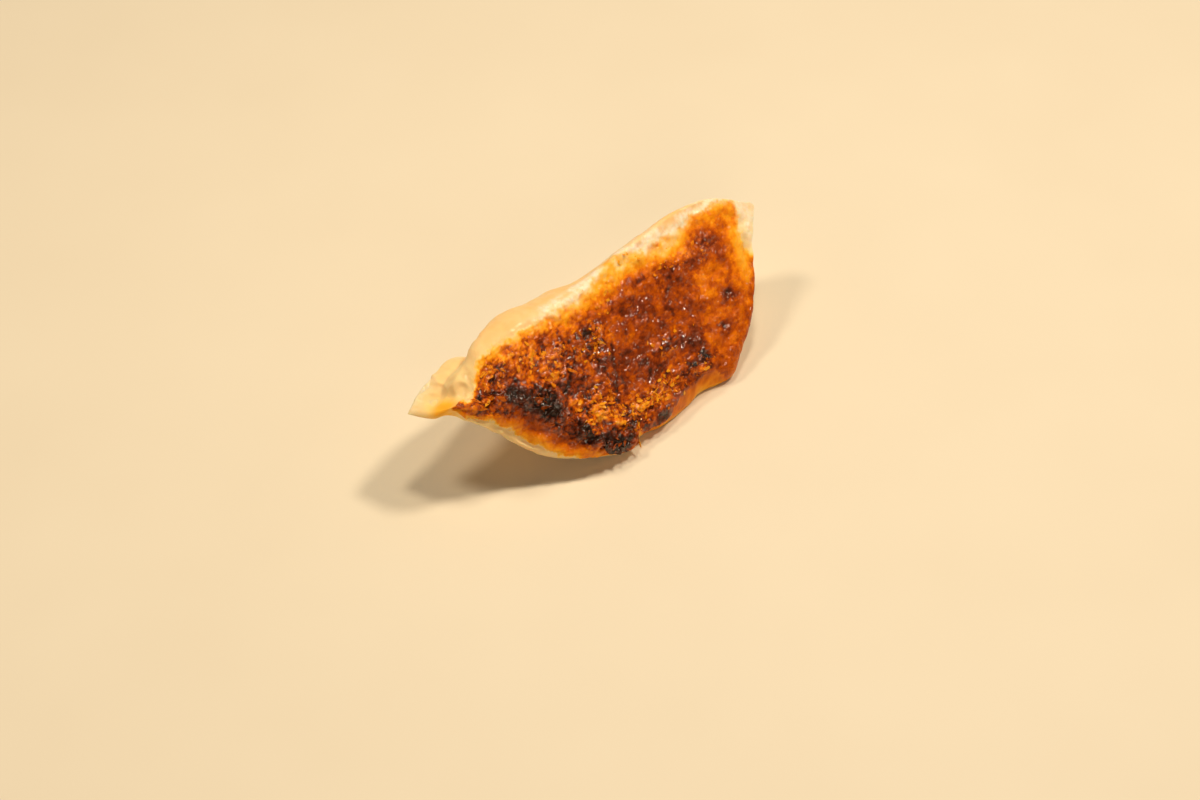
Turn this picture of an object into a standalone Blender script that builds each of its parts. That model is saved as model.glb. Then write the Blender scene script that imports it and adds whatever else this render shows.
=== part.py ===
"""A pan-fried shrimp gyoza, lying on its pleated side with the browned base tilted up.

The dumpling is one solid: a thin wrapper folded over its filling, with a flat fried base, two bellied walls,
a pleated seam that stands along the top, and a pinched ear at each end.

It is lofted in the dumpling's own frame and then laid down:
    u runs along its length, from the long ear to the short one,
    v runs across its base, from the pleated front wall to the smooth back wall,
    w runs from the fried base, at zero, up to the crest of the seam.
"""

from math import cos, pi, radians, sin

import bmesh
import bpy
import numpy as np
from mathutils import Vector, noise

MM = 0.001

# How the dumpling lies: the angle between its fried base and the table, and how far its soft side gives.
BASE_TILT = radians(45)
SIDE_GIVES = 1.6 * MM

# The edge of the fried base as (u, v) in millimetres, from the left tip to the right one.
FRONT_EDGE = [(-36.0, 4.1), (-34.8, 1.6), (-32.2, -1.4), (-29.1, -5.3), (-26.6, -8.9), (-22.6, -13.2),
              (-17.5, -16.4), (-12.5, -18.4), (-8.0, -19.6), (-5.5, -18.6), (1.0, -18.9), (8.0, -17.9),
              (13.0, -17.4), (16.5, -18.6), (19.6, -19.3), (22.8, -17.6), (26.4, -15.5), (30.1, -12.4),
              (33.6, -8.5), (36.5, -4.3), (39.2, -0.6), (42.0, 2.7)]
BACK_EDGE = [(-36.0, 5.0), (-34.4, 5.2), (-32.2, 5.1), (-30.4, 6.6), (-28.3, 8.7), (-26.2, 10.3),
             (-22.6, 10.6), (-15.0, 10.6), (-5.8, 10.0), (0.6, 9.9), (8.0, 10.8), (17.4, 11.4),
             (28.0, 11.3), (34.0, 9.8), (38.6, 7.0), (41.4, 4.7)]

# The crest of the seam as (u, v, w) in millimetres, from the left ear's tip to the right one's.
CREST = [(-40.1, 8.2, 9.0), (-37.0, 9.9, 8.6), (-33.6, 11.0, 8.2), (-28.8, 11.8, 8.8),
         (-24.4, 10.4, 11.6), (-19.0, 7.6, 16.6), (-12.0, 4.0, 21.2), (-2.0, 1.2, 24.2),
         (8.0, 0.2, 24.9), (18.0, 0.4, 22.9), (27.0, 1.4, 17.8), (34.0, 2.6, 11.2),
         (39.0, 3.4, 6.4), (42.4, 3.7, 3.8)]

# The two layers of wrapper that are pressed together as the seam, thinner at the ears, the ripple that the
# fingers leave in it, and how far its rim dips between the pleats. Thickness is (share of the length, mm).
SEAM_HEIGHT = 6.0 * MM
SEAM_THICKNESS = [(0.0, 1.2), (0.14, 2.1), (0.5, 2.2), (0.86, 2.1), (1.0, 1.4)]
EAR_ROUNDING = 0.7 * MM
SEAM_WAVE = 0.55 * MM
SEAM_WAVES = 7.5
SEAM_SCALLOP = 0.8 * MM
SEAM_PROFILE = [(0.35, 1.0), (0.7, 0.92), (0.95, 0.55)]

# How each wall bellies: (share of the length, millimetres out low on the wall, the same below the seam).
FRONT_BELLY = [(0.0, 0.0, 0.0), (0.12, 1.2, 1.0), (0.3, 4.6, 4.6), (0.45, 7.6, 6.4), (0.55, 10.6, 6.6),
               (0.64, 9.6, 6.4), (0.74, 6.4, 5.0), (0.9, 1.6, 1.6), (1.0, 0.0, 0.0)]
BACK_BELLY = [(0.0, 0.0, 0.0), (0.12, 1.4, 1.6), (0.2, 3.4, 5.0), (0.28, 4.2, 7.4), (0.36, 4.0, 8.6),
              (0.46, 2.8, 7.8), (0.56, 1.0, 5.6), (0.7, 0.4, 4.6), (0.88, 0.2, 1.6), (1.0, 0.0, 0.0)]
LOW_HANDLE = 0.22
HIGH_HANDLE = 0.24

# Pleats on the front wall: tucks that lean one way and fade out down the belly.
PLEATS = 6
PLEAT_SPAN = (0.2, 0.8)
PLEAT_HEIGHT = 1.2 * MM
PLEAT_SLANT = 1.1

# The front left of the base curls away from the pan along a ridge, given as (u, v) in millimetres.
CURL_RIDGE = [(-33.5, 3.2), (-28.7, 0.8), (-22.4, -3.4), (-18.6, -9.6), (-14.9, -15.6)]
CURL_DEPTH = 2.4 * MM
CURL_REACH = 6.0 * MM

# Relief of the fried crust and of the soft wrapper.
CRUST_RELIEF = 0.42 * MM
CRUST_GRAIN = 3.2 * MM
CRUST_FADE = 0.12
WRAPPER_RELIEF = 0.5 * MM
WRAPPER_GRAIN = 11.0 * MM
TIP_FADE = 0.05

# Single bumps and hollows, as (u, v, w, reach, height) in millimetres, all by the left ear.
DIMPLES = [(-32.0, 8.0, 3.0, 3.2, 1.0), (-36.2, 6.6, 4.6, 3.2, -1.0), (-28.0, 10.6, 4.0, 3.0, -0.7)]

# Mesh: sections along the length, points on half a section's base and on each wall, and rings round an ear.
STATIONS = 78
BASE_HALF_POINTS = 11
WALL_POINTS = 17
END_RINGS = 2

PALE_DOUGH = (0.80, 0.60, 0.33, 1.0)


def eased(at, values, where):
    """Values read from a smooth curve that passes through each of the given ones."""
    at, values = np.asarray(at, float), np.asarray(values, float)
    slopes = np.gradient(values, at, axis=0)
    i = np.clip(np.searchsorted(at, where, side="right") - 1, 0, len(at) - 2)
    span = (at[i + 1] - at[i])[:, None]
    x = (where - at[i])[:, None] / span
    start, end = values[i], values[i + 1]
    rise = (3 - 2 * x) * x * x
    return (start + (end - start) * rise
            + slopes[i] * span * x * (1 - x) ** 2
            - slopes[i + 1] * span * x * x * (1 - x))


def curve_through(points, shares):
    """Points at these shares of the length of a smooth curve through the given points, in metres."""
    points = np.asarray(points, float)
    steps = np.linalg.norm(np.diff(points, axis=0), axis=1)
    at = np.concatenate([[0.0], np.cumsum(steps)]) / steps.sum()
    return eased(at, points, shares) * MM


def along_length(table, shares):
    """Sizes read from rows of (share of the length, millimetres, ...), one column for each."""
    rows = np.array(table)
    return eased(rows[:, 0], rows[:, 1:], shares) * MM


def bezier(p0, p1, p2, p3, x):
    """Cubic Bezier points, for whole rows of ends and handles at once."""
    x = x[None, :, None]
    p0, p1, p2, p3 = (p[:, None, :] for p in (p0, p1, p2, p3))
    return p0 * (1 - x) ** 3 + 3 * p1 * x * (1 - x) ** 2 + 3 * p2 * x * x * (1 - x) + p3 * x ** 3


def unit(rows):
    return rows / np.linalg.norm(rows, axis=-1, keepdims=True)


def flat_to_space(points):
    return np.column_stack([points, np.zeros(len(points))])


def wall(edge, crest, side, belly, thickness):
    """One wall of every section, from the edge of the base up to the crest. side is +1 at the back."""
    out = np.array([0.0, side, 0.0])
    up = np.array([0.0, 0.0, 1.0])
    reach = np.linalg.norm(crest - edge, axis=1, keepdims=True)
    lean = unit(crest - edge * np.array([1.0, 0.35, 1.0]))
    seam = lean * np.minimum(SEAM_HEIGHT, 0.5 * reach)
    half_thickness = out * thickness / 2
    root = crest - seam + half_thickness
    low_handle = edge + out * belly[:, :1] + up * LOW_HANDLE * reach
    high_handle = root + out * belly[:, 1:] - up * HIGH_HANDLE * reach
    soft_points = WALL_POINTS - 1 - len(SEAM_PROFILE)
    soft = bezier(edge, low_handle, high_handle, root, np.linspace(0, 1, soft_points))
    fin = [crest - seam * (1 - height) + half_thickness * share for height, share in SEAM_PROFILE]
    return np.concatenate([soft, np.stack(fin, axis=1)], axis=1)


def sections(shares):
    """The closed outline of each section: base middle, back wall, crest, front wall, base middle."""
    front = flat_to_space(curve_through(FRONT_EDGE, shares))
    back = flat_to_space(curve_through(BACK_EDGE, shares))
    crest = curve_through(CREST, shares)
    crest[:, 1] += SEAM_WAVE * np.sin(2 * pi * SEAM_WAVES * shares) * np.sin(pi * shares)
    crest[:, 2] -= SEAM_SCALLOP * scallops(shares)
    front[:, 2] += curl_at(front)
    thickness = along_length(SEAM_THICKNESS, shares)
    back_wall = wall(back, crest, 1, along_length(BACK_BELLY, shares), thickness)
    front_wall = wall(front, crest, -1, along_length(FRONT_BELLY, shares), thickness)
    middle = ((front + back) / 2)[:, None]
    steps = (np.arange(BASE_HALF_POINTS) / BASE_HALF_POINTS)[None, :, None]
    back_half = middle + (back[:, None] - middle) * steps
    front_half = middle + (front[:, None] - middle) * steps
    return np.concatenate([back_half, back_wall, crest[:, None], front_wall[:, ::-1], front_half[:, :0:-1]],
                          axis=1)


def scallops(shares):
    """The dip of the rim between neighbouring pleats, from 0 at a pleat's middle to 1 between two of them."""
    first, last = PLEAT_SPAN
    phase = (shares - first) / (last - first) * PLEATS
    return np.where((phase > 0.5) & (phase < PLEATS - 0.5), np.abs(np.cos(pi * phase)) ** 3, 0.0)


def curl_at(points):
    """How far the base curls up from the pan, past the ridge at its front left."""
    ridge = curve_through(CURL_RIDGE, np.linspace(0, 1, 40))
    away = points[:, None, :2] - ridge[None]
    gap = np.linalg.norm(away, axis=2)
    nearest = gap.argmin(axis=1)
    rows = np.arange(len(points))
    along = unit(np.gradient(ridge, axis=0))[nearest]
    beside = away[rows, nearest]
    outward = along[:, 1] * beside[:, 0] - along[:, 0] * beside[:, 1]
    past = np.where(outward < 0, 0.0, gap[rows, nearest])
    return CURL_DEPTH * np.clip(past / CURL_REACH, 0, 1) ** 1.6


def ring_heights():
    """Each outline point's share of the way up its wall: 0 on the base, 1 at the crest."""
    up = np.linspace(0.0, 1.0, WALL_POINTS)
    half = np.concatenate([np.zeros(BASE_HALF_POINTS), up[:-1], [1.0]])
    return np.concatenate([half, half[-2:0:-1]])


def on_front(count):
    """True for the points of a section's outline that lie on the front half."""
    return np.arange(count) > count // 2


def outward_normals(grid):
    along = np.gradient(grid, axis=0)
    around = np.roll(grid, -1, axis=1) - np.roll(grid, 1, axis=1)
    return unit(np.cross(around, along) + 1e-12)


def grained(points, grain, offset, octaves=4):
    """Fractal noise at each point, about -1 to 1, with features of the size of the grain."""
    shift = Vector((offset, -offset, 0.5 * offset))
    flat = points.reshape(-1, 3) / grain
    values = [noise.fractal(Vector(p) + shift, 0.8, 2.1, octaves) for p in flat]
    return np.array(values).reshape(points.shape[:-1])


def crust_relief(grid, heights):
    """Crags of the fried crust, which fade just past the edge of the base."""
    crags = grained(grid, CRUST_GRAIN, 3.7) - 0.6 * np.abs(grained(grid, CRUST_GRAIN * 0.6, 9.1))
    return CRUST_RELIEF * crags * np.clip(1.0 - heights / CRUST_FADE, 0, 1)


def wrapper_relief(grid, heights):
    """Slack and dents of the soft wrapper, strongest half way up the walls."""
    return WRAPPER_RELIEF * grained(grid, WRAPPER_GRAIN, 1.3, 3) * np.sin(pi * np.clip(heights, 0, 1)) ** 0.5


def pleat_relief(shares, heights, front):
    """Tucks of the front wall: each rises slowly and drops at once, and is deepest below the seam."""
    first, last = PLEAT_SPAN
    phase = ((shares - first) / (last - first) * PLEATS)[:, None] + PLEAT_SLANT * (1 - heights[None])
    tuck = np.where((phase > 0) & (phase < PLEATS), phase % 1.0, 0.0)
    below_seam = np.clip((heights - 0.35) / 0.45, 0, 1) ** 1.3
    at_rim = np.clip((heights - 0.85) / 0.15, 0, 1)
    return PLEAT_HEIGHT * tuck * (below_seam * (1 - 0.5 * at_rim) * front)[None]


def dimple_relief(grid):
    total = np.zeros(grid.shape[:2])
    for u, v, w, reach, height in DIMPLES:
        gap = np.linalg.norm(grid / MM - np.array([u, v, w]), axis=2)
        total += height * MM * np.exp(-((gap / reach) ** 2) * 1.5)
    return total


def with_rounded_ends(grid):
    """Closes each ear with rings that shrink to the middle of its thickness as they run past its end."""
    count = grid.shape[1]
    mirrored = grid[:, (-np.arange(count)) % count]
    middles = (grid + mirrored) / 2
    caps = []
    for end, inner in ((0, 1), (-1, -2)):
        out = unit(middles[end] - middles[inner])
        rings = []
        for step in range(1, END_RINGS + 1):
            angle = step / END_RINGS * pi / 2
            rings.append(middles[end] + (grid[end] - middles[end]) * cos(angle)
                         + out * EAR_ROUNDING * sin(angle))
        caps.append(rings)
    return np.concatenate([caps[0][::-1], grid, caps[1]])


def laid_down(grid):
    """Turns the dumpling's own frame into the world's, with its pleated side down on the table."""
    u, v, w = np.moveaxis(grid, -1, 0)
    y = v * cos(BASE_TILT) + w * sin(BASE_TILT)
    z = v * sin(BASE_TILT) - w * cos(BASE_TILT)
    z = np.maximum(z - z.min() - SIDE_GIVES, 0.0)
    placed = np.stack([u, y, z], axis=-1)
    low, high = placed.min(axis=(0, 1)), placed.max(axis=(0, 1))
    return placed - np.array([(low[0] + high[0]) / 2, (low[1] + high[1]) / 2, 0.0])


def dumpling_points():
    """The whole skin as a grid: one closed ring of points for each section."""
    shares = 0.5 - 0.5 * np.cos(np.linspace(0.0, 1.0, STATIONS) * pi)
    grid = sections(shares)
    heights = ring_heights()
    relief = (crust_relief(grid, heights) + wrapper_relief(grid, heights) + dimple_relief(grid)
              + pleat_relief(shares, heights, on_front(grid.shape[1])))
    relief *= np.clip(np.minimum(shares, 1 - shares) / TIP_FADE, 0, 1)[:, None]
    grid = grid + outward_normals(grid) * relief[..., None]
    return laid_down(with_rounded_ends(grid))


def folded(row):
    """A ring of the first half's points, which runs back over them: the closed end of an ear."""
    return row + row[-2:0:-1]


def mesh_from_grid(name, grid):
    """A closed mesh from rings of points, whose first and last rings fold flat on themselves."""
    rings, count = grid.shape[:2]
    bm = bmesh.new()
    verts = [[bm.verts.new(p) for p in ring] for ring in grid[1:-1]]
    first, last = (folded([bm.verts.new(p) for p in grid[end, :count // 2 + 1]]) for end in (0, -1))
    verts = [first] + verts + [last]
    for r in range(rings - 1):
        for i in range(count):
            j = (i + 1) % count
            bm.faces.new((verts[r][i], verts[r + 1][i], verts[r + 1][j], verts[r][j]))
    mesh = bpy.data.meshes.new(name)
    bm.to_mesh(mesh)
    bm.free()
    return mesh


def dough_material():
    material = bpy.data.materials.new("fried_dough")
    material.use_nodes = True
    shader = material.node_tree.nodes["Principled BSDF"]
    shader.inputs["Base Color"].default_value = PALE_DOUGH
    shader.inputs["Roughness"].default_value = 0.4
    shader.inputs["Metallic"].default_value = 0.0
    return material


def main():
    for obj in list(bpy.data.objects):
        bpy.data.objects.remove(obj)
    collection = bpy.data.collections.new("shrimp_gyoza")
    bpy.context.scene.collection.children.link(collection)
    mesh = mesh_from_grid("gyoza", dumpling_points())
    mesh.materials.append(dough_material())
    mesh.shade_smooth()
    collection.objects.link(bpy.data.objects.new("gyoza", mesh))


main()
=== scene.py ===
"""The looks of a pan-fried shrimp gyoza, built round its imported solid.

The skin repeats the solid's loft at a finer pitch and adds what the solid leaves out: the crags and blisters
of the fried base, the folds of the long ear and the small slack of the soft dough. Loose flakes of crust are
strewn over it.

Tables hold millimetres in the dumpling's own frame:
    u runs along its length, from the long ear to the short one,
    v runs across its base, from the pleated front wall to the smooth back wall,
    w runs from the fried base, at zero, up to the crest of the seam.
"""

from collections import namedtuple
from math import cos, pi, radians, sin

import bpy
import numpy as np
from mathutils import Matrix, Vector, noise


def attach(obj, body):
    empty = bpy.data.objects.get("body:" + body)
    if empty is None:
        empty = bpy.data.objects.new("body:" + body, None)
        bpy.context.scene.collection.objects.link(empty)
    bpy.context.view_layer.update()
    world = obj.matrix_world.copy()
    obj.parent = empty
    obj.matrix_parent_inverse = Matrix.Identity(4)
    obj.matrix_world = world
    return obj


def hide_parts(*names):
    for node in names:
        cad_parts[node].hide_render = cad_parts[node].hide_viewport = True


MM = 0.001

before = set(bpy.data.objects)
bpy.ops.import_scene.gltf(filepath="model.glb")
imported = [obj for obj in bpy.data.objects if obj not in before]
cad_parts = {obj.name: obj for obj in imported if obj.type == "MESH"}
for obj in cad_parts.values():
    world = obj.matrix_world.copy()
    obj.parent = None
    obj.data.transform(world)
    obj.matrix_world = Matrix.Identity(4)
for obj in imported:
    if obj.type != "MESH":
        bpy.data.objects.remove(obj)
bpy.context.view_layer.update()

# How the dumpling lies: the angle between its fried base and the table, and how far its soft side gives.
BASE_TILT = radians(45)
SIDE_GIVES = 1.6 * MM

# The edge of the fried base as (u, v), from the left tip to the right one.
FRONT_EDGE = [(-36.0, 4.1), (-34.8, 1.6), (-32.2, -1.4), (-29.1, -5.3), (-26.6, -8.9), (-22.6, -13.2),
              (-17.5, -16.4), (-12.5, -18.4), (-8.0, -19.6), (-5.5, -18.6), (1.0, -18.9), (8.0, -17.9),
              (13.0, -17.4), (16.5, -18.6), (19.6, -19.3), (22.8, -17.6), (26.4, -15.5), (30.1, -12.4),
              (33.6, -8.5), (36.5, -4.3), (39.2, -0.6), (42.0, 2.7)]
BACK_EDGE = [(-36.0, 5.0), (-34.4, 5.2), (-32.2, 5.1), (-30.4, 6.6), (-28.3, 8.7), (-26.2, 10.3),
             (-22.6, 10.6), (-15.0, 10.6), (-5.8, 10.0), (0.6, 9.9), (8.0, 10.8), (17.4, 11.4),
             (28.0, 11.3), (34.0, 9.8), (38.6, 7.0), (41.4, 4.7)]

# The crest of the seam as (u, v, w), from the left ear's tip to the right one's.
CREST = [(-40.1, 8.2, 9.0), (-37.0, 9.9, 8.6), (-33.6, 11.0, 8.2), (-28.8, 11.8, 8.8),
         (-24.4, 10.4, 11.6), (-19.0, 7.6, 16.6), (-12.0, 4.0, 21.2), (-2.0, 1.2, 24.2),
         (8.0, 0.2, 24.9), (18.0, 0.4, 22.9), (27.0, 1.4, 17.8), (34.0, 2.6, 11.2),
         (39.0, 3.4, 6.4), (42.4, 3.7, 3.8)]

# The two layers of wrapper that are pressed together as the seam, and its ripple and dips. Each side of
# it leans away from a point of the base, which lies at this share of the way out to the base's edge.
SEAM_HEIGHT = 6.0 * MM
SEAM_THICKNESS = [(0.0, 1.2), (0.14, 2.1), (0.5, 2.2), (0.86, 2.1), (1.0, 1.4)]
EAR_ROUNDING = 0.7 * MM
LEANS_FROM = 0.35
SEAM_WAVE = 0.55 * MM
SEAM_WAVES = 7.5
SEAM_SCALLOP = 0.8 * MM

# How each wall bellies: (share of the length, out low on the wall, out below the seam).
FRONT_BELLY = [(0.0, 0.0, 0.0), (0.12, 1.2, 1.0), (0.3, 4.6, 4.6), (0.45, 7.6, 6.4), (0.55, 10.6, 6.6),
               (0.64, 9.6, 6.4), (0.74, 6.4, 5.0), (0.9, 1.6, 1.6), (1.0, 0.0, 0.0)]
BACK_BELLY = [(0.0, 0.0, 0.0), (0.12, 1.4, 1.6), (0.2, 3.4, 5.0), (0.28, 4.2, 7.4), (0.36, 4.0, 8.6),
              (0.46, 2.8, 7.8), (0.56, 1.0, 5.6), (0.7, 0.4, 4.6), (0.88, 0.2, 1.6), (1.0, 0.0, 0.0)]
LOW_HANDLE = 0.22
HIGH_HANDLE = 0.24

# Pleats on the front wall: tucks that lean one way and fade out down the belly. They grow up the wall from
# their foot, and lose half their height at the rim, just below the crest.
PLEATS = 6
PLEAT_SPAN = (0.2, 0.8)
PLEAT_HEIGHT = 1.2 * MM
PLEAT_SLANT = 1.1
PLEAT_FOOT = 0.35
PLEAT_GROWTH = 0.45
RIM_LOSS = 0.5
RIM_FOOT = 0.85
RIM_SHARE = 0.15

# The front left of the base curls away from the pan along a ridge.
CURL_RIDGE = [(-33.5, 3.2), (-28.7, 0.8), (-22.4, -3.4), (-18.6, -9.6), (-14.9, -15.6)]
CURL_DEPTH = 2.4 * MM
CURL_REACH = 6.0 * MM
CURL_BEND = 1.6

# The relief that the solid has too.
CRUST_RELIEF = 0.42 * MM
CRUST_GRAIN = 3.2 * MM
CRUST_FADE = 0.12
WRAPPER_RELIEF = 0.5 * MM
WRAPPER_GRAIN = 11.0 * MM
TIP_FADE = 0.05
DIMPLE_SHARPNESS = 1.5

# Dimples and swellings near the long ear: (u, v, w, reach, height).
DIMPLES = [(-32.0, 8.0, 3.0, 3.2, 1.0), (-36.2, 6.6, 4.6, 3.2, -1.0), (-28.0, 10.6, 4.0, 3.0, -0.7)]

# How quickly the octaves of the noise fade, and how much finer each is than the last.
NOISE_FADE = 0.8
NOISE_STEP = 2.1

# How many sections there are and how evenly they lie, and how many points run over the base, wall and seam.
Pitch = namedtuple("Pitch", "stations evenness base wall seam")
SOLID_PITCH = Pitch(stations=78, evenness=0.0, base=11, wall=17, seam=3)
SKIN_PITCH = Pitch(stations=380, evenness=0.6, base=84, wall=41, seam=8)
END_RINGS = 6

# Where the solid's seam has its points, as shares of its height, and where the skin's seam begins on a wall.
SOLID_SEAM_HEIGHTS = (0.35, 0.7, 0.95)
SEAM_FOOT = 1 - (SKIN_PITCH.seam + 1.5) / (SKIN_PITCH.wall - 1)

# Steps along a line or an outline when distances to it are measured, and how many points go at once.
LINE_STEPS = 60
OUTLINE_STEPS = 360
CHUNK = 20000

# How the skin's corners are rounded: (passes, points that each pass reaches), and how strong a pass is.
BACK_CORNER = (16, 5.0)
FRONT_CORNER = (5, 2.5)
SEAM_CORNER = (14, 7.0)
SMOOTHING = 0.7

# The outline of what has fried, as (u, v); it runs past the edge of the base where the crust reaches it.
FRIED_EDGE = [(-36.4, 4.6), (-35.5, 5.4), (-34.0, 4.7), (-31.9, 4.5), (-31.3, 5.7), (-29.6, 7.4),
              (-27.6, 8.9), (-26.2, 10.3), (-24.1, 10.0), (-20.0, 9.6), (-15.0, 9.6), (-10.0, 9.5),
              (-5.0, 9.1), (0.0, 9.6), (4.0, 10.6), (7.5, 12.2), (10.5, 11.2), (14.0, 9.6), (19.0, 9.2),
              (24.0, 8.3), (28.0, 9.0), (32.0, 9.3), (36.0, 8.0), (38.4, 6.2), (38.2, 4.0), (36.5, 1.2),
              (35.9, -1.6), (37.0, -4.4), (34.2, -8.9), (31.0, -12.7), (27.2, -16.2), (23.0, -18.9),
              (20.6, -20.9), (18.0, -20.9), (16.0, -19.0), (13.6, -17.4), (10.4, -17.8), (7.0, -18.0),
              (3.6, -18.9), (1.4, -20.3), (-1.6, -20.8), (-4.4, -20.2), (-6.0, -18.8), (-7.6, -20.6),
              (-10.6, -20.6), (-13.0, -19.2), (-17.5, -17.0), (-21.8, -13.6), (-24.2, -10.4), (-26.0, -7.9),
              (-28.4, -4.4), (-31.5, -0.9), (-34.4, 1.6), (-36.5, 3.4)]

# The shares of the wall's height between which the crust ends.
CRUST_REACH = (0.03, 0.085)

# A raised flap of crust near the front edge, with a gap below its free side, where its shadow is painted.
CRUST_LIP = [(-12.3, -11.7), (-11.0, -13.2), (-9.6, -14.7), (-7.3, -15.5), (-4.4, -15.1), (-1.6, -15.8)]

# Darker and lighter patches of the crust: (u, v, half length, half width, turn in degrees, how much browner).
PATCHES = [
    (-28.0, 2.0, 3.6, 1.7, -32, 0.20), (-24.8, 0.8, 3.4, 1.9, -30, 0.26),
    (-21.4, -2.8, 3.6, 2.6, -40, 0.26), (-22.9, -0.7, 2.2, 1.4, -35, 0.16),
    (-20.9, -5.0, 2.6, 1.8, -30, 0.22), (-18.7, -3.4, 1.8, 1.6, 0, 0.16),
    (-18.4, -8.4, 3.2, 1.5, -62, 0.16), (-16.6, -12.2, 2.0, 1.5, -50, 0.28),
    (-14.6, -14.2, 2.4, 1.7, -50, 0.28), (-12.6, -17.2, 2.6, 1.4, -40, 0.28),
    (-9.6, -19.0, 3.0, 1.1, -10, 0.26), (-6.8, -16.9, 1.7, 0.6, -8, 0.26), (-24.6, 5.4, 2.8, 1.8, 0, 0.22),
    (-31.6, 3.8, 1.2, 0.7, 0, 0.36), (-33.0, 1.3, 1.3, 0.8, -40, 0.14), (-35.2, 3.2, 1.8, 1.3, -50, -0.18),
    (-15.0, -3.6, 4.0, 2.4, 0, 0.08), (-5.4, 1.4, 4.2, 2.8, 0, 0.10), (-10.6, 4.2, 3.2, 1.5, 0, 0.12),
    (-4.0, -1.2, 1.8, 1.2, 0, 0.04), (5.0, 0.6, 7.0, 3.2, 0, 0.07), (7.0, -0.6, 3.2, 2.2, 0, 0.10),
    (18.6, 2.6, 3.4, 1.7, 15, 0.05), (27.6, 4.2, 3.2, 2.2, 0, 0.16), (26.2, 1.0, 3.6, 1.6, 0, 0.06),
    (13.4, -10.8, 3.2, 2.4, 0, 0.22), (11.8, -14.3, 1.3, 0.8, 0, 0.34), (15.0, -14.3, 1.3, 0.7, 15, 0.40),
    (9.4, -15.2, 1.2, 0.6, 0, 0.20), (5.3, -12.5, 1.0, 3.0, 0, 0.10), (26.9, -7.5, 1.3, 1.1, 20, 0.27),
    (22.3, -12.3, 1.4, 1.1, 0, 0.15), (25.0, -13.6, 3.0, 1.8, -30, -0.08), (19.0, -15.4, 2.6, 1.6, 0, 0.10),
    (18.8, -18.6, 2.6, 1.8, 0, -0.12), (11.0, 4.8, 1.6, 0.6, 20, 0.20), (-2.0, -6.4, 10.0, 4.2, 0, 0.08),
    (1.0, -11.0, 3.4, 2.2, 0, 0.10), (-1.0, -18.6, 2.6, 1.4, 0, 0.22), (3.0, -18.4, 3.4, 1.2, 0, 0.20),
    (9.0, -17.0, 3.0, 1.0, 0, 0.10), (30.4, 7.0, 3.2, 1.4, -10, 0.10), (-25.6, 9.4, 2.6, 1.1, 20, -0.12),
    (-4.0, 8.4, 6.0, 2.2, 0, -0.14), (9.0, 9.4, 5.0, 2.2, 0, -0.22), (20.5, 7.2, 5.0, 1.8, 0, -0.16),
    (-29.0, 5.6, 1.4, 1.0, 50, -0.16), (36.2, 3.0, 2.4, 4.0, -20, -0.20),
    (34.0, -2.4, 1.8, 3.2, -20, -0.24), (19.4, -13.0, 1.6, 2.0, 0, -0.12), (29.0, -2.0, 6.0, 3.4, 0, -0.04),
    (31.5, -8.5, 3.0, 3.0, -50, -0.08), (24.0, -7.0, 3.0, 3.0, 0, -0.06), (-12.0, -9.4, 3.0, 2.0, 0, -0.08),
    (-12.6, 2.9, 1.3, 1.0, 0, -0.16), (-9.0, -12.8, 3.0, 1.6, -20, -0.14),
    (-2.0, -15.0, 4.0, 1.2, 0, -0.10), (-20.5, -3.0, 0.9, 0.6, 10, -0.34),
    (-14.2, -13.3, 0.8, 0.5, 0, -0.30), (-17.0, 5.4, 2.8, 1.7, 0, -0.11), (14.5, 3.0, 3.2, 2.2, 0, -0.08),
    (33.2, -6.0, 1.8, 4.4, -25, -0.14), (-1.5, -9.5, 1.8, 2.8, 0, -0.07), (-3.4, -12.6, 1.6, 1.6, 0, -0.07),
    (17.5, 8.4, 3.0, 1.0, 0, 0.10),
]

# The front edge's darkest corner, which stays dark where the base has curled away from the pan.
DARK_CORNER = (-12.8, -16.6, 2.8, 1.2, -42, 0.22)

# Where the crust has crumbled into golden flakes: (u, v, half length, half width, turn in degrees, strength).
CRUMBLY = [
    (-10.5, -10.6, 4.6, 3.4, 0, 1.0), (-3.0, -15.4, 6.5, 2.2, 0, 1.0), (4.5, -14.6, 3.6, 2.4, 0, 0.9),
    (-15.4, -1.0, 3.6, 2.0, 10, 0.7), (-18.0, 4.2, 4.0, 2.2, 0, 0.35), (-12.0, 2.6, 2.0, 1.4, 0, 0.8),
    (-4.8, -0.4, 3.4, 2.6, 0, 0.9), (-25.4, 6.0, 4.0, 2.6, 20, 0.35), (13.0, -15.6, 4.0, 1.6, 0, 0.7),
    (-30.0, 2.4, 2.8, 1.6, -20, 0.25), (-20.8, -3.0, 1.6, 1.2, 0, 1.0), (-16.4, -12.8, 1.4, 1.2, 0, 1.0),
    (19.0, 3.6, 3.4, 2.0, 10, 0.35), (25.4, 3.0, 3.0, 2.0, 0, 0.3), (8.6, -8.4, 3.6, 2.4, 0, 0.35),
    (11.0, 8.4, 8.0, 2.4, 0, 0.25), (0.0, 5.0, 6.0, 3.0, 0, 0.2), (-8.0, -18.6, 6.0, 1.6, 0, 0.5),
]

# Fine relief of the crust and the dough, in millimetres.
CRAG_HEIGHT = 0.24
LUMP_HEIGHT = 0.42
GRIT_HEIGHT = 0.32
RIDGE_HEIGHT = 0.30
RIDGE_LUMPS = 0.55
EDGE_HEIGHT = 0.30
LIP_HEIGHT = 0.45
LIP_DROP = 0.75
HOLE_DEPTH = 0.35
SPUR_HEIGHT = 0.7
PRESSED_HEIGHT = 0.12
CREASE_DEPTH = 0.35
EAR_FOLD = 0.5
DOUGH_SLACK = 0.10
DOUGH_GRAIN = 0.02

# How far a round lump reaches, as a share of the size of the cells that they fill.
DOME_RADIUS = 0.66

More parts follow.
